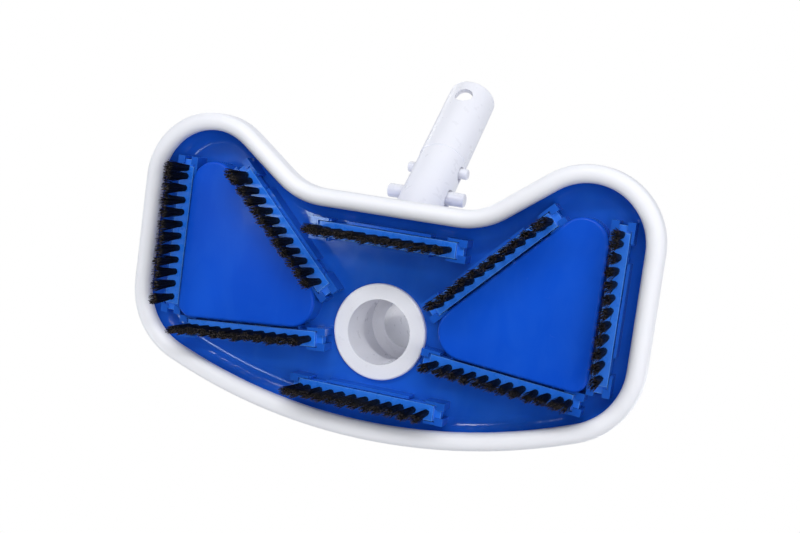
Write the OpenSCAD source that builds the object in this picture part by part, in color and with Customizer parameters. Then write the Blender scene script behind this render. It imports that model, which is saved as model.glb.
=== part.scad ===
// Manual vacuum head for the floor of a pool or spa: a weighted, see-through
// shell that rides on eight strips of bristles, with a soft bumper, a
// swivelling hose tail and a tilting socket for a telescopic pole.
//
// Origin: centre of the suction mouth, in the collar's lower face.
// +Z is up, +Y points to the pole side and +X to the left of whoever holds
// the pole.

/* [Outline] */
// Half the width at the bumper's centre line
half_w = 141.3; // [139:0.1:143]
// Half the straight stretch at the rear, out to the waist corners
waist_x = 51.4; // [50:0.1:53]
// From the suction axis to the bumper's centre line at the rear
rear_reach = 68.3; // [67:0.1:70]
// Radius of the waist's hollow corners
waist_r = 39; // [36:3:39]
// Radius of the two rounded lobes
lobe_r = 35; // [33:0.5:36]
// How far in front of the suction axis the side and front lines meet
nose_reach = 21.1; // [20.5:0.1:22]
// Radius of the front corners
nose_r = 39; // [36:1:39]
// Length of each sloping front line, corner to corner
front_edge = 88.75; // [88.5:0.05:88.8]
// Radius of the long front curve
front_r = 319; // [300:1:319]

/* [Shell] */
// Wall thickness of the shell
wall = 3; // [2.5:0.1:3.2]
// Height of the ceiling over the suction mouth
ceiling = 3; // [2.5:0.1:3.5]
// Outer radius of the rounded edge between the roof and the wall
edge_r = 13; // [12:0.5:14]
// Lower edge of the shell's wall
rim_z = -11; // [-11.5:0.1:-10.5]

/* [Bumper] */
// Width of the bumper
bumper_w = 9.5; // [9:0.1:10]
// Height of the centre of its round lower half
bumper_z = -10.4; // [-11:0.1:-10]

/* [Brushes] */
// Tufts in each strip
tufts = 12; // [10:1:12]
// Distance from tuft to tuft
tuft_pitch = 6.8; // [6.4:0.1:6.9]
// Radius of one tuft
tuft_r = 1.9; // [1.6:0.1:2.2]
// Height of the bristle tips, where the head stands
tip_z = -29.9; // [-33:0.1:-27]
// Length of one brush bar
bar_l = 86; // [85:0.5:87]
// Width of one brush bar
bar_w = 8.4; // [8:0.1:8.6]
// Height of a bar's lower face
bar_z = -7.8; // [-8.4:0.1:-7.2]
// Thickness of one bar
bar_t = 6; // [5.5:0.1:6.5]

/* [Weights] */
// Height of the weight covers' lower face
cover_z = -10.4; // [-11:0.1:-10]
// Gap between a weight pocket and the middle of the strips around it
pocket_gap = 5.5; // [5.4:0.1:5.8]

/* [Suction] */
// Inner radius of the suction mouth
mouth_r = 17.9; // [17:0.1:18.2]
// Outer radius of the collar's flange
flange_r = 26.4; // [26:0.1:27]
// Outer radius of the hose tail
tail_r = 19; // [18.8:0.1:19.2]
// Length of the hose tail
tail_l = 42; // [38:1:50]
// Inner radius of the hose tail
tail_bore_r = 14.3; // [13.5:0.1:15]
// Height of the swivelling chamber's shoulder
shoulder_z = 48; // [46:1:52]

/* [Handle] */
// Outer radius of the pole socket's tube
tube_r = 14.4; // [14:0.1:14.6]
// Length from the hinge to the tube's tip
tube_l = 131; // [128:1:136]
// Tilt of the tube above the horizontal
tilt = 47; // [44:1:50]
// Hinge position behind the suction axis
hinge_y = 45.4; // [45:0.1:46]
// Hinge height
hinge_z = 18.8; // [18.5:0.1:19.5]

/* [Hidden] */
$fn = 64;

// Brush strips of the centre and of the left half: name, place, angle, and
// which long sides have a rail of their own (+1 rear side, -1 front side).
CENTRE_STRIPS = [
    ["rear", [0, 51.2], 0, [1, -1]],
    ["front", [0, -36.1], 0, [1, -1]]
];
SIDE_STRIPS = [
    ["outer", [123.5, 34.6], 90, [-1]],
    ["diagonal", [59.9, 47.2], 45, [1]],
    ["lower", [72.1, -12.5], -4.9, [-1]]
];
SIDES = [["left", 0], ["right", 1]];
STRIP_NAMES = concat(
    [for (s = CENTRE_STRIPS) s[0]],
    [for (d = SIDES) for (s = SIDE_STRIPS) str(d[0], "_", s[0])]
);

SHELL_BLUE = [0.08, 0.25, 0.78, 0.75];
BAR_BLUE = [0.20, 0.45, 0.85];
COVER_BLUE = [0.10, 0.30, 0.82];
SOFT_WHITE = [0.93, 0.93, 0.96];
PLASTIC_WHITE = [0.90, 0.90, 0.95];

// ---- Outlines of straight lines and tangent arcs ----
// An outline is a list of [corner point, arc radius], anticlockwise.

function corner(o, i) = o[(i + len(o)) % len(o)][0];
function radius(o, i) = o[(i + len(o)) % len(o)][1];
function along(o, i) = let (d = corner(o, i + 1) - corner(o, i)) d / norm(d);
function outward(o, i) = [along(o, i)[1], -along(o, i)[0]];
function bend(o, i) = let (a = along(o, i - 1), b = along(o, i))
    atan2(a[0] * b[1] - a[1] * b[0], a * b);
function tangent(o, i) = radius(o, i) * tan(abs(bend(o, i)) / 2);
function arc_start(o, i) = corner(o, i) - along(o, i - 1) * tangent(o, i);
function arc_end(o, i) = corner(o, i) + along(o, i) * tangent(o, i);
function arc_centre(o, i) = arc_start(o, i) - sign(bend(o, i)) * radius(o, i) * outward(o, i - 1);
function shifted_corner(o, i, d) = let (a = outward(o, i - 1), b = outward(o, i))
    corner(o, i) + d * (a + b) / (1 + a * b);
function grown(o, d) = [
    for (i = [0:len(o) - 1]) [shifted_corner(o, i, d), radius(o, i) + sign(bend(o, i)) * d]
];
function heading(v) = atan2(v[1], v[0]);

// How far a patch runs past a straight edge.
patch_past = 1;

// What an arc takes off a convex corner or fills into a hollow one. It runs a
// little past the straight edges, so that no sliver is left along them. With a
// kink, the arc crosses the straight edges at that angle instead of touching
// them, for outlines whose directions aren't whole-number right triangles.
module corner_patch(o, i, kink) {
    past = patch_past * sign(bend(o, i));
    difference() {
        polygon([
            arc_centre(o, i), arc_start(o, i), arc_start(o, i) + past * outward(o, i - 1),
            shifted_corner(o, i, past), arc_end(o, i) + past * outward(o, i), arc_end(o, i)
        ]);
        translate(arc_centre(o, i)) circle(r = radius(o, i) / cos(kink), $fn = 360);
    }
}

// The flat area inside an outline.
module area(o, kink = 0) {
    difference() {
        union() {
            polygon([for (c = o) c[0]]);
            for (i = [0:len(o) - 1]) if (bend(o, i) < 0) corner_patch(o, i, kink);
        }
        for (i = [0:len(o) - 1]) if (bend(o, i) > 0) corner_patch(o, i, kink);
    }
}

// Reach of a sector, and height of the space it cuts, both past every section.
far = 500;
tall = 100;

// The sector of the plane, as seen from an arc's centre, that the arc spans.
module arc_sector(o, i) {
    side = sign(bend(o, i));
    a = side * outward(o, i - 1);
    b = side * outward(o, i);
    polygon([[0, 0], far * a, 2 * far * (a + b), far * b]);
}

// Carries a flat section round an outline. The section's x is the distance
// outwards from the outline and its y is the height. The arcs may stand a hair
// proud of the straight stretches, which then run a little way into them.
module sweep_round(o, proud = 0, lap = 0) {
    for (i = [0:len(o) - 1]) {
        translate(arc_centre(o, i)) intersection() {
            rotate_extrude($fn = radius(o, i) > 100 ? 720 : 144)
                translate([radius(o, i) + proud, 0])
                    mirror([bend(o, i) < 0 ? 1 : 0, 0])
                        children();
            translate([0, 0, -tall / 2]) linear_extrude(tall) arc_sector(o, i);
        }
        translate(arc_start(o, i + 1) + lap * along(o, i))
            rotate([90, 0, heading(outward(o, i))])
                linear_extrude(norm(arc_start(o, i + 1) - arc_end(o, i)) + 2 * lap)
                    children();
    }
}

// ---- Driving outlines ----

// Directions of the waist's side and of the sloping front line. Both are whole-
// number right triangles, so that arcs and straight stretches meet exactly.
WAIST_DIR = [0.8, 0.6];
FRONT_DIR = [0.936, 0.352];
waist = [waist_x, rear_reach];
lobe = [half_w, rear_reach + (half_w - waist_x) * WAIST_DIR[1] / WAIST_DIR[0]];
nose = [half_w, -nose_reach];
front = nose - front_edge * FRONT_DIR;
HEAD = [
    [front, front_r],
    [nose, nose_r],
    [lobe, lobe_r],
    [waist, waist_r],
    [[-waist[0], waist[1]], waist_r],
    [[-lobe[0], lobe[1]], lobe_r],
    [[-nose[0], nose[1]], nose_r],
    [[-front[0], front[1]], front_r]
];

// Left weight pocket: bounded by the three strips around it.
outer_strip = SIDE_STRIPS[0];
diagonal_strip = SIDE_STRIPS[1];
lower_strip = SIDE_STRIPS[2];
pocket_x = outer_strip[1][0] - pocket_gap;
function diagonal_y(x) = diagonal_strip[1][1] + (x - diagonal_strip[1][0]) * tan(diagonal_strip[2])
    - pocket_gap / cos(diagonal_strip[2]);
function lower_y(x) = lower_strip[1][1] + (x - lower_strip[1][0]) * tan(lower_strip[2])
    + pocket_gap / cos(lower_strip[2]);
pocket_tip_x = (lower_y(0) - diagonal_y(0)) / (tan(diagonal_strip[2]) - tan(lower_strip[2]));
POCKET = [
    [[pocket_tip_x, diagonal_y(pocket_tip_x)], 14.5],
    [[pocket_x, lower_y(pocket_x)], 8],
    [[pocket_x, diagonal_y(pocket_x)], 13.4]
];
pocket_kink = 4;
pocket_wall = 2;
cover_t = 2;
cover_top = cover_z + cover_t;

// ---- Shell ----

roof = ceiling + wall;
edge_u = wall / 2 - edge_r;
edge_z = roof - edge_r;
plate_inset = edge_u - 2;
plate_lap = 0.5;
plinth_z = bar_z + bar_t;
boss_r = 28.5;
boss_top = roof + 4;
neck_r = 21.2;
neck_fit = 0.1;

module edge_section() {
    translate([-wall / 2, rim_z]) square([wall, edge_z - rim_z]);
    translate([edge_u, edge_z]) intersection() {
        difference() {
            circle(r = edge_r);
            circle(r = edge_r - wall);
        }
        square(edge_r);
    }
    translate([plate_inset, ceiling]) square([edge_u - plate_inset, wall]);
}

rail_in = bar_w / 2 + 0.4;
rail_t = 1.5;
rail_out = rail_in + rail_t;
rail_z = -6.3;
hook_l = 9;
lip_l = 3;
step_l = 4;
step_t = 1.6;
lip_t = step_t - 0.2;
hook_gap = 4.4;
root = 0.6;
rail_top = ceiling + root;
end_u = bar_l / 2 + 0.3;
end_rail_l = 10;
mid_rail_l = 48;

// One long side of a rail, in a middle length and two short end lengths.
module rail_side(v) {
    for (u = [[-end_u, end_rail_l], [-mid_rail_l / 2, mid_rail_l], [end_u - end_rail_l, end_rail_l]])
        translate([u[0], v > 0 ? rail_in : -rail_out, rail_z])
            cube([u[1], rail_t, rail_top - rail_z]);
}

// The two hooks that keep one end of a bar: a split end wall with lips that
// reach over the bar's stepped end.
module rail_end() {
    half_gap = hook_gap / 2;
    hook_w = rail_out - half_gap;
    hook_h = rail_top - bar_z;
    for (side = [0, 1]) mirror([0, side, 0]) {
        translate([end_u, half_gap, bar_z]) cube([rail_t, hook_w, hook_h]);
        translate([end_u - lip_l, half_gap, bar_z]) cube([lip_l + rail_t, hook_w, lip_t]);
        translate([end_u - hook_l, rail_in, bar_z]) cube([hook_l, rail_t, hook_h]);
    }
}

// Thin ribs between a bar and the pocket beside it: where along the bar, how
// thick and from what height. They run a little into the pocket's wall.
RIB_PLACES = [-28, -9.5, 9.5, 28];
rib_t = 1.2;
rib_low = -5;
rib_in = rail_in - 0.3;
rib_end = pocket_gap + 0.6;

module rail_ribs(v) {
    for (u = RIB_PLACES)
        translate([u - rib_t / 2, v > 0 ? rib_in : -rib_end, rib_low])
            cube([rib_t, rib_end - rib_in, rail_top - rib_low]);
}

module place_strip(s) {
    translate([s[1][0], s[1][1], 0]) rotate([0, 0, s[2]]) children();
}

// The block that a bar rests on, a little narrower and shorter than the bar.
plinth_w = 7;
plinth_l = bar_l - 2;

// Everything moulded under the roof for one brush strip.
module brush_seat(s) {
    place_strip(s) {
        translate([-plinth_l / 2, -plinth_w / 2, plinth_z])
            cube([plinth_l, plinth_w, rail_top - plinth_z]);
        for (v = s[3]) rail_side(v);
        for (v = [1, -1]) if (len(s[3]) == 1 && s[3][0] != v) rail_ribs(v);
        rail_end();
        mirror([1, 0, 0]) rail_end();
    }
}

module pocket_ring() {
    translate([0, 0, cover_top]) linear_extrude(rail_top - cover_top) difference() {
        area(POCKET, pocket_kink);
        area(grown(POCKET, -pocket_wall), pocket_kink);
    }
}

ear_in = 15.3;
ear_t = 5;
ear_r = 9.5;
ear_neck = 8.8;
ear_foot = 15;
ear_low = ceiling + 1;
ear_step = roof + 1.5;
ear_slope_z = hinge_z + 3;
gusset_l = 6;
gusset_t = 2;
gusset_y = 10;
pin_r = 4;

// The two upright ears that carry the handle's hinge pin.
module hinge_ears() {
    for (x = [ear_in, -ear_in - ear_t]) translate([x, 0, 0]) {
        difference() {
            union() {
                translate([0, hinge_y, hinge_z]) rotate([0, 90, 0]) cylinder(r = ear_r, h = ear_t);
                rotate([90, 0, 90]) linear_extrude(ear_t)
                    polygon([
                        [hinge_y - ear_foot, ear_low], [hinge_y + ear_foot, ear_low],
                        [hinge_y + ear_foot, ear_step], [hinge_y + ear_neck, ear_slope_z],
                        [hinge_y - ear_neck, ear_slope_z], [hinge_y - ear_foot, ear_step]
                    ]);
            }
            translate([-1, hinge_y, hinge_z]) rotate([0, 90, 0]) cylinder(r = pin_r + 0.02, h = ear_t + 2);
        }
    }
    gusset_x = ear_in + ear_t - 0.5;
    for (x = [gusset_x, -gusset_x - gusset_l], y = [-gusset_y, gusset_y])
        translate([x, hinge_y + y - gusset_t / 2, ear_low]) cube([gusset_l, gusset_t, roof]);
}

module shell() {
    color(SHELL_BLUE) difference() {
        union() {
            sweep_round(HEAD) edge_section();
            translate([0, 0, ceiling]) linear_extrude(wall) area(grown(HEAD, edge_u - plate_lap));
            translate([0, 0, ceiling + 1]) cylinder(r = boss_r, h = boss_top - ceiling - 1);
            for (s = CENTRE_STRIPS) brush_seat(s);
            for (d = SIDES) mirror([d[1], 0, 0]) {
                for (s = SIDE_STRIPS) brush_seat(s);
                pocket_ring();
            }
            hinge_ears();
        }
        translate([0, 0, ceiling - 1]) cylinder(r = neck_r + neck_fit, h = boss_top);
    }
}

// ---- Bumper ----

bumper_r = bumper_w / 2;
slot_u = wall / 2 + 0.05;
lip_r = (bumper_r - slot_u) / 2;
outer_lip_h = 6.6;
inner_lip_h = 1.8;
slot_h = 14;

module bumper_section() {
    difference() {
        union() {
            translate([0, bumper_z]) circle(r = bumper_r);
            translate([slot_u, bumper_z]) square([bumper_r - slot_u, outer_lip_h]);
            translate([slot_u + lip_r, bumper_z + outer_lip_h]) circle(r = lip_r, $fn = 32);
            translate([-bumper_r, bumper_z]) square([bumper_r - slot_u, inner_lip_h]);
            translate([-slot_u - lip_r, bumper_z + inner_lip_h]) circle(r = lip_r, $fn = 32);
        }
        translate([-slot_u, rim_z - 0.05]) square([2 * slot_u, slot_h]);
    }
}

module bumper() {
    color(SOFT_WHITE) sweep_round(HEAD) bumper_section();
}

// ---- Brush strips ----

module strip_bar() {
    difference() {
        translate([-bar_l / 2, -bar_w / 2, bar_z]) cube([bar_l, bar_w, bar_t]);
        for (u = [-bar_l / 2 - 1, bar_l / 2 - step_l])
            translate([u, -bar_w / 2 - 1, bar_z - 1]) cube([step_l + 1, bar_w + 2, step_t + 1]);
    }
}

module strip_bristles() {
    for (n = [0:tufts - 1])
        translate([(n - (tufts - 1) / 2) * tuft_pitch, 0, tip_z])
            cylinder(r = tuft_r, h = bar_z - tip_z, $fn = 24);
}

module brush_bar(s) {
    color(BAR_BLUE) place_strip(s) strip_bar();
}

module bristles(s) {
    color("black") place_strip(s) strip_bristles();
}

// ---- Weights ----

cover_edge_r = 1.5;
cover_rim = 3;
cover_lap = 1;
arc_proud = 0.03;
arc_lap = 0.05;
lug_fit = 0.1;
lug_t = 1.4;
lug_h = 2;
lug_root = 0.5;
weight_fit = 0.1;

// The cover's rounded rim: a flat margin that ends in a quarter round.
module cover_section() {
    difference() {
        translate([0, cover_z + cover_edge_r]) union() {
            circle(r = cover_edge_r, $fn = 32);
            translate([-cover_rim, -cover_edge_r]) square([cover_rim, cover_t]);
            translate([-cover_rim, 0]) square([cover_rim + cover_edge_r, cover_t - cover_edge_r]);
        }
        translate([-cover_rim - 1, cover_top]) square(2 * cover_rim + 2);
    }
}

// A cover with the low wall that locates it inside the pocket.
module weight_cover() {
    inner = -cover_edge_r - cover_rim + cover_lap;
    color(COVER_BLUE) {
        sweep_round(grown(POCKET, -cover_edge_r), arc_proud, arc_lap) cover_section();
        translate([0, 0, cover_z]) linear_extrude(cover_t) area(grown(POCKET, inner), pocket_kink);
        translate([0, 0, cover_top - lug_root]) linear_extrude(lug_h) difference() {
            area(grown(POCKET, -pocket_wall - lug_fit), pocket_kink);
            area(grown(POCKET, -pocket_wall - lug_fit - lug_t), pocket_kink);
        }
    }
}

module weight() {
    weight_inset = pocket_wall + lug_fit + lug_t + 0.5;
    color("dimgray") translate([0, 0, cover_top + weight_fit])
        linear_extrude(ceiling - cover_top - 2 * weight_fit)
            area(grown(POCKET, -weight_inset), pocket_kink);
}

// ---- Suction collar and swivelling hose tail ----

flange_t = ceiling;
flange_round = 1.2;
washer_t = 1;
neck_top = 24;
bell_z = boss_top + washer_t;
bell_in = 21.7;
bell_out = 24.4;
bead_out = 26;
bead_h = 13;
shoulder_t = 4;
shoulder_round = 2;
tail_round = 0.8;
swivel_fit = 0.3;
rib_z = 18;
rib_h = 2.4;
rib_out = neck_r + 1;
ring_z = 13.2;
ring_r = 0.7;
ring_seat = neck_r - 1.2;

module suction_collar() {
    color(PLASTIC_WHITE) rotate_extrude($fn = 128) difference() {
        union() {
            translate([mouth_r, flange_round]) square([flange_r - mouth_r, flange_t - flange_round]);
            translate([mouth_r, 0]) square([flange_r - mouth_r - flange_round, flange_round]);
            translate([flange_r - flange_round, flange_round]) circle(r = flange_round);
            translate([mouth_r, 0]) square([neck_r - mouth_r, neck_top]);
            translate([neck_r - 1, rib_z]) square([rib_out - neck_r + 1, rib_h]);
        }
        translate([ring_seat, ring_z - ring_r]) square([3, 2 * ring_r]);
    }
}

module swivel_washer() {
    color("ivory") translate([0, 0, boss_top]) difference() {
        cylinder(r = bead_out, h = washer_t);
        translate([0, 0, -1]) cylinder(r = neck_r + 0.2, h = washer_t + 2);
    }
}

module swivel_o_ring() {
    color("black") rotate_extrude($fn = 96)
        translate([ring_seat + ring_r, ring_z]) circle(r = ring_r, $fn = 32);
}

module hose_swivel() {
    tail_top = shoulder_z + shoulder_t + tail_l;
    round_r = bell_out - shoulder_round;
    color(PLASTIC_WHITE) rotate_extrude($fn = 128) difference() {
        union() {
            translate([neck_r + swivel_fit, bell_z + 0.1])
                square([bead_out - neck_r - swivel_fit, bead_h]);
            translate([bell_in, bell_z + 1]) square([bell_out - bell_in, shoulder_z - bell_z]);
            translate([tail_bore_r, shoulder_z]) square([round_r - tail_bore_r, shoulder_t]);
            translate([tail_bore_r, shoulder_z]) square([bell_out - tail_bore_r, shoulder_round]);
            translate([round_r, shoulder_z + shoulder_round]) circle(r = shoulder_round);
            translate([tail_bore_r, shoulder_z + shoulder_t - 1])
                square([tail_r - tail_bore_r, tail_l + 1 - tail_round]);
            translate([tail_bore_r + tail_round, tail_top - 1])
                square([tail_r - tail_bore_r - 2 * tail_round, 1]);
            for (r = [tail_r - tail_round, tail_bore_r + tail_round])
                translate([r, tail_top - tail_round]) circle(r = tail_round, $fn = 32);
        }
        translate([neck_r - 2, rib_z - swivel_fit])
            square([rib_out + swivel_fit + 0.05 - neck_r + 2, rib_h + 2 * swivel_fit]);
    }
}

// ---- Handle ----
// In its own frame the tube runs along +Y from the hinge, and its top is +Z.

tube_wall = 2.8;
bore_r = tube_r - tube_wall;
knuckle_r = 11;
tip_hole_y = 117.7;
tip_hole_r = 5.4;
lock_y = 64.7;
tab_y = 43.3;

module on_handle() {
    translate([0, hinge_y, hinge_z]) rotate([tilt, 0, 0]) children();
}

// A slot with round ends through one side of the tube, along the tube.
module side_window(x, y0, y1, w) {
    cut = 20;
    x0 = x > 0 ? 4 : -4 - cut;
    for (y = [y0 + w / 2, y1 - w / 2])
        translate([x0, y, 0]) rotate([0, 90, 0]) cylinder(d = w, h = cut);
    translate([x0, y0 + w / 2, -w / 2]) cube([cut, y1 - y0 - w, w]);
}

// The tube's plain end, which guides the pole, starts past the clip's buttons.
// Below it the tube is a hair thinner, so that the pole slides on freely.
spigot_y = 72;
base_r = tube_r - 0.25;
base_y = 12;
bore_y = 30;
tip_round = 1.2;
boss_x = ear_in - 0.3;
boss_end_r = 7.5;

module handle() {
    color(PLASTIC_WHITE) on_handle() difference() {
        union() {
            rotate([-90, 0, 0]) rotate_extrude($fn = 128) {
                translate([0, base_y]) square([base_r, spigot_y - base_y]);
                translate([0, spigot_y - 1]) square([base_r, 2]);
                translate([0, spigot_y]) square([tube_r, tube_l - tip_round - spigot_y]);
                translate([0, tube_l - 2]) square([tube_r - tip_round, 2]);
                translate([tube_r - tip_round, tube_l - tip_round]) circle(r = tip_round, $fn = 32);
            }
            intersection() {
                rotate([-90, 0, 0]) translate([0, 0, -knuckle_r - 1])
                    cylinder(r = base_r, h = 30, $fn = 128);
                union() {
                    translate([-20, 0, 0]) rotate([0, 90, 0]) cylinder(r = knuckle_r, h = 40);
                    translate([-20, 0, -knuckle_r]) cube([40, 20, 2 * knuckle_r]);
                }
            }
            translate([-boss_x, 0, 0]) rotate([0, 90, 0]) cylinder(r = boss_end_r, h = 2 * boss_x);
        }
        rotate([-90, 0, 0]) translate([0, 0, bore_y]) cylinder(r = bore_r, h = tube_l, $fn = 128);
        translate([-25, 0, 0]) rotate([0, 90, 0]) cylinder(r = pin_r + 0.05, h = 50);
        translate([0, tip_hole_y, -25]) cylinder(r = tip_hole_r, h = 50);
        for (x = [1, -1]) {
            side_window(x, tab_y - 9.5, tab_y + 5.2, 9.6);
            side_window(x, lock_y - 6.6, lock_y + 4.2, 7.8);
        }
    }
}

module hinge_pin() {
    head_t = 2.8;
    head_r = 6.5;
    head_x = ear_in + ear_t + 0.1;
    tail = 3.4;
    color("silver") translate([0, hinge_y, hinge_z]) rotate([0, 90, 0]) {
        translate([0, 0, -head_x - tail]) cylinder(r = pin_r, h = 2 * head_x + tail);
        translate([0, 0, head_x]) cylinder(r = head_r, h = head_t);
    }
}

module hinge_pin_clip() {
    color("silver") translate([-ear_in - ear_t - 1.5, hinge_y, hinge_z]) rotate([0, 90, 0]) difference() {
        cylinder(r = 7.2, h = 1.3);
        translate([0, 0, -1]) cylinder(r = pin_r + 0.02, h = 4);
    }
}

// ---- Spring clip inside the tube ----

clip_w = 8;
arm_t = 2.2;
arm_x = 4;
arm_y = 95;
arm_l = 58;
arm_lean = 5.4;
arm_gap = 0.3;
lock_r = 3.1;
lock_reach = 18.4;
tab_r = 4;
tab_reach = 23.1;

// A round button along +X with a rounded rim.
module button(r, x0, x1) {
    translate([x0, 0, 0]) rotate([0, 90, 0]) rotate_extrude($fn = 48) {
        square([r, x1 - x0 - 1]);
        square([r - 1, x1 - x0]);
        translate([r - 1, x1 - x0 - 1]) circle(r = 1, $fn = 32);
    }
}

module clip_arm() {
    color(PLASTIC_WHITE) on_handle() {
        translate([arm_x, arm_y, -clip_w / 2]) rotate([0, 0, arm_lean])
            translate([-arm_t / 2, -arm_l, 0]) cube([arm_t, arm_l, clip_w]);
        translate([0, lock_y, 0]) button(lock_r, 6.5, lock_reach);
        translate([0, tab_y, 0]) button(tab_r, 8.5, tab_reach);
    }
}

module clip_bridge() {
    bridge_y = arm_y + arm_gap;
    color(PLASTIC_WHITE) on_handle() {
        translate([0, bridge_y, -clip_w / 2]) linear_extrude(clip_w) intersection() {
            difference() {
                circle(r = arm_x + arm_t / 2);
                circle(r = arm_x - arm_t / 2);
            }
            translate([-10, 0]) square([20, 10]);
        }
        intersection() {
            rotate([-90, 0, 0]) translate([0, 0, arm_y])
                cylinder(r = bore_r - 0.03, h = 20, $fn = 128);
            translate([-20, bridge_y + arm_x, -clip_w / 2]) cube([40, 3, clip_w]);
        }
    }
}

shell();
bumper();
for (s = CENTRE_STRIPS) {
    brush_bar(s);
    bristles(s);
}
for (d = SIDES) mirror([d[1], 0, 0]) {
    for (s = SIDE_STRIPS) {
        brush_bar(s);
        bristles(s);
    }
    weight_cover();
    weight();
    clip_arm();
}
suction_collar();
swivel_washer();
swivel_o_ring();
hose_swivel();
handle();
hinge_pin();
hinge_pin_clip();
clip_bridge();
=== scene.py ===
import math
import random

import bpy
import bmesh
from mathutils import Matrix, Vector

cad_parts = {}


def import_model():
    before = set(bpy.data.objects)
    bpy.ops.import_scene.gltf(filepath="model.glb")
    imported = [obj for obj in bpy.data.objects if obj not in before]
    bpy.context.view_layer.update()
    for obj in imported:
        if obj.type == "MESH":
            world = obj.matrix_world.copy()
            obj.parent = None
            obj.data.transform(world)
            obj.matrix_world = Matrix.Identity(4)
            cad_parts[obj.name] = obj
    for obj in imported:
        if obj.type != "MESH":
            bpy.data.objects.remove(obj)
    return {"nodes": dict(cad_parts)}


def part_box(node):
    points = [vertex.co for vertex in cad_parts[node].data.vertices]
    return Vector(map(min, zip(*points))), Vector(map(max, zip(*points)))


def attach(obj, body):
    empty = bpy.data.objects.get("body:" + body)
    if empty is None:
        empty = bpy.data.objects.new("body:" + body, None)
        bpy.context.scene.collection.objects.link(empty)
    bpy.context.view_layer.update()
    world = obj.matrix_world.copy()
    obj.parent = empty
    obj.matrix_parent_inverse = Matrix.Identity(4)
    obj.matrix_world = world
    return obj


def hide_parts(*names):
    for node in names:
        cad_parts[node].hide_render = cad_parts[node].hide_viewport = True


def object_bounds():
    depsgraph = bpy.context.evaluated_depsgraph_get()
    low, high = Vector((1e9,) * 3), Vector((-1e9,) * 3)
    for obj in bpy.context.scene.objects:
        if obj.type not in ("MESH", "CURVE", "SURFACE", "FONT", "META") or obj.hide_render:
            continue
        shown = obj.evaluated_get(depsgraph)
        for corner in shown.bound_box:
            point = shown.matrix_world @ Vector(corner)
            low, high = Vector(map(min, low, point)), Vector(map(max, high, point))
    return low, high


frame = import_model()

CAD_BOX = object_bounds()
NODES = frame["nodes"]
MM = 0.001


# ---- Material graphs ----

class Graph:
    """A node material, with short ways to add and join its nodes."""

    def __init__(self, name, **constants):
        self.mat = bpy.data.materials.new(name)
        self.mat.use_nodes = True
        self.tree = self.mat.node_tree
        self.shader = self.tree.nodes["Principled BSDF"]
        self.place = self.add("ShaderNodeTexCoord").outputs["Object"]
        for key, value in constants.items():
            self.shader.inputs[key.replace("_", " ")].default_value = value

    def add(self, kind, inputs=None, **settings):
        node = self.tree.nodes.new(kind)
        for key, value in settings.items():
            setattr(node, key, value)
        for key, value in (inputs or {}).items():
            self.put(node.inputs[key], value)
        return node

    def put(self, socket, value):
        if isinstance(value, bpy.types.NodeSocket):
            self.tree.links.new(value, socket)
        else:
            socket.default_value = value

    def out(self, key, value):
        self.put(self.shader.inputs[key], value)

    def noise(self, scale, detail=3.0, rough=0.55, stretch=None, distortion=0.0):
        place = self.place
        if stretch:
            mapping = self.add("ShaderNodeMapping", {"Vector": place, "Scale": stretch})
            place = mapping.outputs["Vector"]
        return self.add("ShaderNodeTexNoise", {
            "Vector": place, "Scale": scale, "Detail": detail, "Roughness": rough, "Distortion": distortion,
        }).outputs["Fac"]

    def span(self, value, a, b, lo=0.0, hi=1.0):
        """The value carried from a..b to lo..hi, and held at the ends."""
        return self.add("ShaderNodeMapRange", {
            "Value": value, "From Min": a, "From Max": b, "To Min": lo, "To Max": hi,
        }, clamp=True).outputs["Result"]

    def math(self, op, a, b=0.0):
        node = self.add("ShaderNodeMath", operation=op)
        self.put(node.inputs[0], a)
        self.put(node.inputs[1], b)
        return node.outputs[0]

    def mix(self, fac, a, b):
        node = self.add("ShaderNodeMix", data_type="RGBA")
        self.put(node.inputs["Factor"], fac)
        for key, colour in (("A", a), ("B", b)):
            joined = isinstance(colour, bpy.types.NodeSocket)
            self.put(node.inputs[key], colour if joined else (*colour, 1.0))
        return node.outputs["Result"]

    def bump(self, *layers):
        """Fine relief, each layer a (height, strength, distance) on top of the one before."""
        normal = None
        for height, strength, distance in layers:
            node = self.add("ShaderNodeBump", {"Height": height, "Strength": strength, "Distance": distance})
            if normal is not None:
                self.put(node.inputs["Normal"], normal)
            normal = node.outputs["Normal"]
        self.out("Normal", normal)

    def edges(self, radius, gain):
        """About 1 on the solid's own sharp edges and 0 on its faces."""
        bevel = self.add("ShaderNodeBevel", {"Radius": radius}, samples=6).outputs["Normal"]
        flat = self.add("ShaderNodeNewGeometry").outputs["Normal"]
        dot = self.add("ShaderNodeVectorMath", operation="DOT_PRODUCT")
        self.put(dot.inputs[0], bevel)
        self.put(dot.inputs[1], flat)
        return self.span(dot.outputs["Value"], 1.0, 1.0 - 1.0 / gain)

    def height(self):
        return self.add("ShaderNodeSeparateXYZ", {"Vector": self.place}).outputs["Z"]


def scratches(g, scale, width):
    """Thin wandering hairlines."""
    n = g.noise(scale, 2.0, 0.5, distortion=0.6)
    line = g.math("ABSOLUTE", g.math("SUBTRACT", n, 0.5))
    return g.span(line, 0.0, width, 1.0, 0.0)


EDGE_RADIUS = 0.5 * MM
EDGE_GAIN = 6.0


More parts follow.
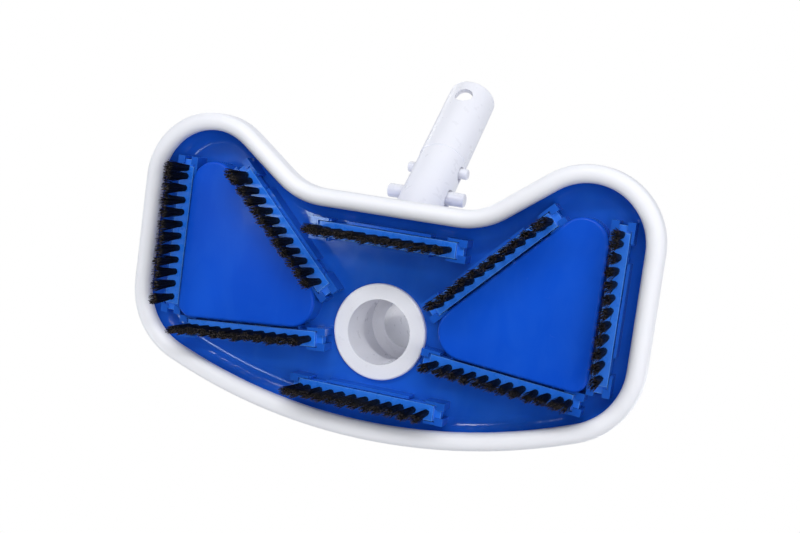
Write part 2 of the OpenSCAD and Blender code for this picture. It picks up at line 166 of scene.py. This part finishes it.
def blue_plastic(name, deep, mid, light, rough, edge_highlight, transmission, gloss=1.0):
    """Moulded blue plastic, cloudy inside, with a painted highlight that makes its sharp edges paler, and a
    few faint hairlines.
    """
    g = Graph(name, Transmission_Weight=transmission, IOR=1.5, Coat_Weight=0.15 * gloss, Coat_Roughness=0.06,
              Specular_IOR_Level=0.5 * gloss)
    cloud = g.noise(14.0, 3.0, 0.5)
    flow = g.noise(60.0, 4.0, 0.6, (1.0, 0.35, 1.0), 0.8)
    body = g.mix(g.span(cloud, 0.35, 0.68), deep, mid)
    body = g.mix(g.span(flow, 0.45, 0.85, 0.0, 0.12), body, light)
    # Painted highlight: the sharp edges are mixed toward the pale colour, as if they caught the light.
    body = g.mix(g.span(g.edges(EDGE_RADIUS, EDGE_GAIN), 0.0, 1.0, 0.0, edge_highlight), body, light)
    g.out("Base Color", body)
    wear = g.math("MULTIPLY", scratches(g, 55.0, 0.004), g.span(g.noise(35.0), 0.50, 0.66))
    g.out("Roughness", g.math("ADD", g.span(g.noise(220.0, 4.0), 0.3, 0.7, rough - 0.03, rough + 0.05),
                              g.math("MULTIPLY", wear, 0.06)))
    g.bump((g.noise(32.0, 2.0), 0.10, 0.6 * MM), (g.noise(2600.0, 3.0), 0.12, 0.03 * MM),
           (wear, 0.01, 0.02 * MM))
    return g.mat


def white_plastic(name, colour, shade, rough, subsurface, grain):
    """White plastic or vinyl in two close tones, with faint smudges and a fine grain."""
    g = Graph(name, Subsurface_Weight=subsurface, Subsurface_Radius=(1.0, 0.9, 0.85),
              Subsurface_Scale=2.0 * MM, IOR=1.48)
    tone = g.mix(g.span(g.noise(18.0, 3.0), 0.35, 0.7), colour, shade)
    smudge = g.span(g.noise(26.0, 2.0, 0.4), 0.55, 0.80, 0.0, 0.06)
    g.out("Base Color", g.mix(smudge, tone, tuple(0.75 * c for c in colour)))
    g.out("Roughness", g.span(g.noise(160.0, 4.0), 0.3, 0.7, rough - 0.05, rough + 0.07))
    g.bump((g.noise(30.0, 1.0), 0.06, 0.4 * MM), (g.noise(1800.0, 2.0), grain, 0.01 * MM))
    return g.mat


SHELL = blue_plastic("shell_blue", (0.008, 0.105, 0.62), (0.016, 0.15, 0.80), (0.09, 0.34, 0.92),
                     rough=0.13, edge_highlight=0.30, transmission=0.20)
COVER = blue_plastic("cover_blue", (0.003, 0.072, 0.60), (0.005, 0.090, 0.68), (0.05, 0.24, 0.90),
                     rough=0.22, edge_highlight=0.45, transmission=0.0, gloss=0.3)
BAR = blue_plastic("bar_blue", (0.012, 0.15, 0.76), (0.022, 0.20, 0.92), (0.20, 0.52, 1.0),
                   rough=0.28, edge_highlight=0.9, transmission=0.0)
BUMPER = white_plastic("bumper_vinyl", (0.90, 0.905, 0.96), (0.885, 0.89, 0.95), 0.42, 0.12, 0.35)
WHITE = white_plastic("white_plastic", (0.90, 0.905, 0.97), (0.89, 0.895, 0.965), 0.30, 0.05, 0.12)
CLIP = white_plastic("clip_plastic", (0.88, 0.885, 0.94), (0.87, 0.875, 0.935), 0.24, 0.05, 0.08)
WASHER = white_plastic("washer_plastic", (0.74, 0.74, 0.72), (0.68, 0.68, 0.66), 0.35, 0.0, 0.2)


def rubber(name):
    g = Graph(name, IOR=1.5)
    g.out("Base Color", g.mix(g.noise(300.0, 4.0), (0.010, 0.010, 0.011), (0.028, 0.027, 0.026)))
    g.out("Roughness", g.span(g.noise(500.0), 0.3, 0.7, 0.45, 0.65))
    g.bump((g.noise(2500.0), 0.3, 0.04 * MM))
    return g.mat


def steel(name):
    g = Graph(name, Metallic=1.0)
    g.out("Base Color", g.mix(g.noise(90.0), (0.55, 0.55, 0.56), (0.70, 0.70, 0.70)))
    lines = g.noise(900.0, 2.0, 0.5, (0.05, 1.0, 1.0))
    g.out("Roughness", g.span(lines, 0.3, 0.7, 0.18, 0.34))
    g.bump((lines, 0.15, 0.02 * MM))
    return g.mat


def cast_iron(name):
    g = Graph(name, Metallic=0.6)
    rust = g.span(g.noise(120.0, 6.0, 0.7), 0.55, 0.75)
    g.out("Base Color", g.mix(rust, (0.045, 0.045, 0.048), (0.16, 0.07, 0.035)))
    g.out("Roughness", g.span(rust, 0.0, 1.0, 0.5, 0.85))
    g.bump((g.noise(600.0, 6.0, 0.7), 0.5, 0.3 * MM))
    return g.mat


def nylon(name, tip_z):
    """Black bristles whose cut ends show paler specks."""
    g = Graph(name, IOR=1.53, Specular_IOR_Level=0.2)
    tip = g.span(g.height(), tip_z + 0.3 * MM, tip_z + 0.8 * MM, 1.0, 0.0)
    speck = g.span(g.noise(2600.0, 1.0, 0.5), 0.48, 0.60)
    body = g.mix(g.noise(700.0, 2.0), (0.0015, 0.0015, 0.002), (0.006, 0.0055, 0.006))
    g.out("Base Color", g.mix(g.math("MULTIPLY", tip, speck), body, (0.17, 0.14, 0.13)))
    g.out("Roughness", g.span(g.noise(900.0), 0.3, 0.7, 0.40, 0.6))
    g.bump((g.noise(5000.0), 0.2, 0.01 * MM))
    return g.mat


LOW, HIGH = CAD_BOX
NYLON = nylon("bristle_nylon", LOW[2])
FINISH = {
    "shell": SHELL, "bumper": BUMPER, "brush_bar": BAR, "bristles": NYLON, "weight_cover": COVER,
    "weight_": cast_iron("weight_iron"), "suction_collar": WHITE, "swivel_washer": WASHER,
    "swivel_o_ring": rubber("seal_rubber"), "hose_swivel": WHITE, "handle": WHITE,
    "hinge_pin": steel("pin_steel"), "clip_": CLIP,
}

# Each node takes the finish with the longest name that starts its own.
for name, obj in NODES.items():
    key = max((k for k in FINISH if name.startswith(k)), key=len)
    obj.data.materials.clear()
    obj.data.materials.append(FINISH[key])


# ---- Bristles: every strip's twelve tufts as single fibres ----

TUFT_REACH = 4.6 * MM   # more than a tuft's width and less than the way to the next one
FIBRES = 84             # in one tuft
ROOT_R = 1.62 * MM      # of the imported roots
ROOT_DEPTH = 1.2 * MM   # how far the roots go into the bar
SPLAY_ALONG = 2.15      # how much wider the tips stand than the roots, along the strip
SPLAY_ACROSS = 1.45
STRAY_SHARE = 0.07
STRAY = 2.6             # a stray fibre's scatter, against the others'
GOLDEN_ANGLE = 2.399963
FIBRE_SIDES = 3
TIP_TAPER = 0.86
PATH_STEPS = (0.0, 0.3, 0.6, 0.85, 1.0)


def middle(values):
    return (min(values) + max(values)) / 2


def tuft_centres(obj):
    """The middles of a node's separate tufts, in order along the strip, and its direction."""
    found = []
    for v in obj.data.vertices:
        p = Vector((v.co.x, v.co.y))
        for group in found:
            if (group[0] - p).length < TUFT_REACH:
                group.append(p)
                break
        else:
            found.append([p])
    centres = [Vector((middle([p.x for p in g]), middle([p.y for p in g]))) for g in found]
    far = max(centres, key=lambda c: (c - centres[0]).length)
    along = (centres[0] - far).normalized()
    return sorted(centres, key=lambda c: c.dot(along)), along


def fibre(bm, path, radius):
    """One closed fibre along a path."""
    rings = []
    for k, p in enumerate(path):
        a, b = path[max(k - 1, 0)], path[min(k + 1, len(path) - 1)]
        t = (b - a).normalized()
        u = t.orthogonal().normalized()
        w = t.cross(u)
        r = radius * (TIP_TAPER if k == len(path) - 1 else 1.0)
        rings.append([bm.verts.new(p + r * (math.cos(q) * u + math.sin(q) * w))
                      for q in (2 * math.pi * n / FIBRE_SIDES for n in range(FIBRE_SIDES))])
    for a, b in zip(rings, rings[1:]):
        for n in range(FIBRE_SIDES):
            m = (n + 1) % FIBRE_SIDES
            bm.faces.new((a[n], a[m], b[m], b[n]))
    bm.faces.new(rings[-1])
    bm.faces.new(rings[0][::-1])


def bristle_strip(name, seed):
    """Twelve splayed tufts in place of a node's plain ones."""
    rnd = random.Random(seed)
    low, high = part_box(name)
    centres, along = tuft_centres(NODES[name])
    across = Vector((-along.y, along.x))
    root_z, tip_z = high.z + ROOT_DEPTH, low.z
    bm = bmesh.new()
    for centre in centres:
        lean = Vector((rnd.uniform(-0.5, 0.5), rnd.uniform(-0.45, 0.45))) * MM
        twist = rnd.uniform(0, math.tau)
        for n in range(FIBRES):
            r = ROOT_R * math.sqrt((n + 0.5) / FIBRES)
            q = twist + n * GOLDEN_ANGLE
            du, dv = r * math.cos(q), r * math.sin(q)
            root = centre + along * du + across * dv
            stray = STRAY if rnd.random() < STRAY_SHARE else 1.0
            tip_u = du * SPLAY_ALONG + lean.x + rnd.gauss(0, 0.42) * MM * stray
            tip_v = dv * SPLAY_ACROSS + lean.y + rnd.gauss(0, 0.30) * MM * stray
            tip = centre + along * tip_u + across * tip_v
            end_z = tip_z + abs(rnd.gauss(0, 0.35)) * MM + 0.02 * MM
            bow = Vector((rnd.gauss(0, 0.18), rnd.gauss(0, 0.18))) * MM
            path = []
            for t in PATH_STEPS:
                p = root.lerp(tip, t ** 1.35) + bow * math.sin(math.pi * t)
                path.append(Vector((p.x, p.y, root_z + (end_z - root_z) * t)))
            fibre(bm, path, rnd.uniform(0.15, 0.20) * MM)
    mesh = bpy.data.meshes.new(name + "_fibres")
    bm.to_mesh(mesh)
    bm.free()
    obj = bpy.data.objects.new(name + "_fibres", mesh)
    bpy.context.scene.collection.objects.link(obj)
    mesh.materials.append(NYLON)
    for p in mesh.polygons:
        p.use_smooth = True
    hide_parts(name)
    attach(obj, "head")


FIRST_SEED = 11
for k, name in enumerate(sorted(n for n in NODES if n.startswith("bristles_"))):
    bristle_strip(name, FIRST_SEED + k)


# ---- Stage, light and camera ----

FLOOR_HALF = 4


def floor(z):
    """A pale floor that is clear from below, where the camera looks from."""
    h = FLOOR_HALF
    mesh = bpy.data.meshes.new("floor")
    mesh.from_pydata([(-h, -h, z), (h, -h, z), (h, h, z), (-h, h, z)], [], [(0, 1, 2, 3)])
    obj = bpy.data.objects.new("floor", mesh)
    bpy.context.scene.collection.objects.link(obj)
    g = Graph("floor_white", Roughness=0.7, Emission_Strength=0.2)
    g.shader.inputs["Emission Color"].default_value = (1.0, 1.0, 1.0, 1.0)
    g.out("Base Color", g.mix(g.noise(3.0), (0.93, 0.93, 0.94), (0.95, 0.95, 0.95)))
    clear = g.add("ShaderNodeBsdfTransparent").outputs[0]
    under = g.add("ShaderNodeNewGeometry").outputs["Backfacing"]
    mix = g.add("ShaderNodeMixShader", {0: under, 1: g.shader.outputs[0], 2: clear})
    g.tree.links.new(mix.outputs[0], g.tree.nodes["Material Output"].inputs["Surface"])
    mesh.materials.append(g.mat)
    obj.visible_shadow = False
    obj.visible_diffuse = False
    obj.visible_glossy = False
    obj.visible_transmission = False


def softbox(name, place, aim, size, power, colour=(1.0, 1.0, 1.0)):
    light = bpy.data.lights.new(name, "AREA")
    light.shape = "RECTANGLE"
    light.size, light.size_y = size
    light.energy = power
    light.color = colour
    obj = bpy.data.objects.new(name, light)
    obj.location = place
    obj.rotation_euler = (Vector(aim) - Vector(place)).to_track_quat("-Z", "Y").to_euler()
    obj.visible_camera = False
    bpy.context.scene.collection.objects.link(obj)
    return obj


DARK_FADE = (0.25, 0.78)   # cosines from the dark side at which the room fades
DARK_STRENGTH = 0.03


def world(strength, tint, dark):
    """A white backdrop for the camera, and a dimmer tinted room for everything else."""
    w = bpy.data.worlds.new("studio")
    bpy.context.scene.world = w
    w.use_nodes = True
    nodes, links = w.node_tree.nodes, w.node_tree.links
    room = nodes["Background"]
    room.inputs["Color"].default_value = (*tint, 1.0)
    # The room is dark where the flat faces mirror it, as a tent is round its lens hole.
    aim = nodes.new("ShaderNodeVectorMath")
    aim.operation = "DOT_PRODUCT"
    aim.inputs[1].default_value = dark
    links.new(nodes.new("ShaderNodeTexCoord").outputs["Generated"], aim.inputs[0])
    fade = nodes.new("ShaderNodeMapRange")
    fade.inputs["From Min"].default_value = DARK_FADE[0]
    fade.inputs["From Max"].default_value = DARK_FADE[1]
    fade.inputs["To Min"].default_value = strength
    fade.inputs["To Max"].default_value = DARK_STRENGTH
    links.new(aim.outputs["Value"], fade.inputs["Value"])
    links.new(fade.outputs["Result"], room.inputs["Strength"])
    back = nodes.new("ShaderNodeBackground")
    back.inputs["Color"].default_value = (1.0, 1.0, 1.0, 1.0)
    mix = nodes.new("ShaderNodeMixShader")
    links.new(nodes.new("ShaderNodeLightPath").outputs["Is Camera Ray"], mix.inputs[0])
    links.new(room.outputs[0], mix.inputs[1])
    links.new(back.outputs[0], mix.inputs[2])
    links.new(mix.outputs[0], nodes["World Output"].inputs["Surface"])


floor(LOW[2])
world(0.62, (0.94, 0.965, 1.0), (0.33, -0.16, -0.93))
MIDDLE = (0.0, 0.03, 0.0)
softbox("rear_strip", (0.2, 0.9, -0.98), MIDDLE, (2.0, 0.14), 9.0)
softbox("left_box", (1.1, -0.8, -0.28), MIDDLE, (0.7, 0.14), 5.0)
softbox("waist_glint", (0.460, 0.0, -0.910), (0.057, 0.062, 0.0), (0.06, 0.13), 0.32, (0.7, 0.9, 1.0))
softbox("right_box", (-1.25, 0.0, -0.6), MIDDLE, (0.4, 1.2), 1.5)
softbox("lens_fill", (-0.48, 0.12, -1.08), MIDDLE, (1.0, 1.0), 7.0).visible_glossy = False
softbox("top_key", (-0.6, -0.7, 1.3), MIDDLE, (1.0, 1.0), 6.0)
softbox("back_rim", (0.8, 0.7, 0.95), (0.0, 0.05, 0.0), (0.5, 0.5), 1.1)

RIGHT = Vector((-0.93307306, 0.13438956, 0.33363769))
UP = Vector((0.16065209, 0.98562558, 0.05227929))
BACK = Vector((-0.32181605, 0.10237999, -0.94125064))
lens = bpy.data.cameras.new("camera")
lens.lens = 56.25
lens.sensor_width = 36.0
lens.sensor_fit = "HORIZONTAL"
lens.clip_end = 20.0
camera = bpy.data.objects.new("camera", lens)
pose = Matrix((RIGHT, UP, BACK)).transposed().to_4x4()
pose.translation = Vector((-0.22324, 0.10605, -0.63223))
camera.matrix_world = pose
bpy.context.scene.collection.objects.link(camera)
bpy.context.scene.camera = camera
bpy.context.scene.view_settings.view_transform = "Standard"
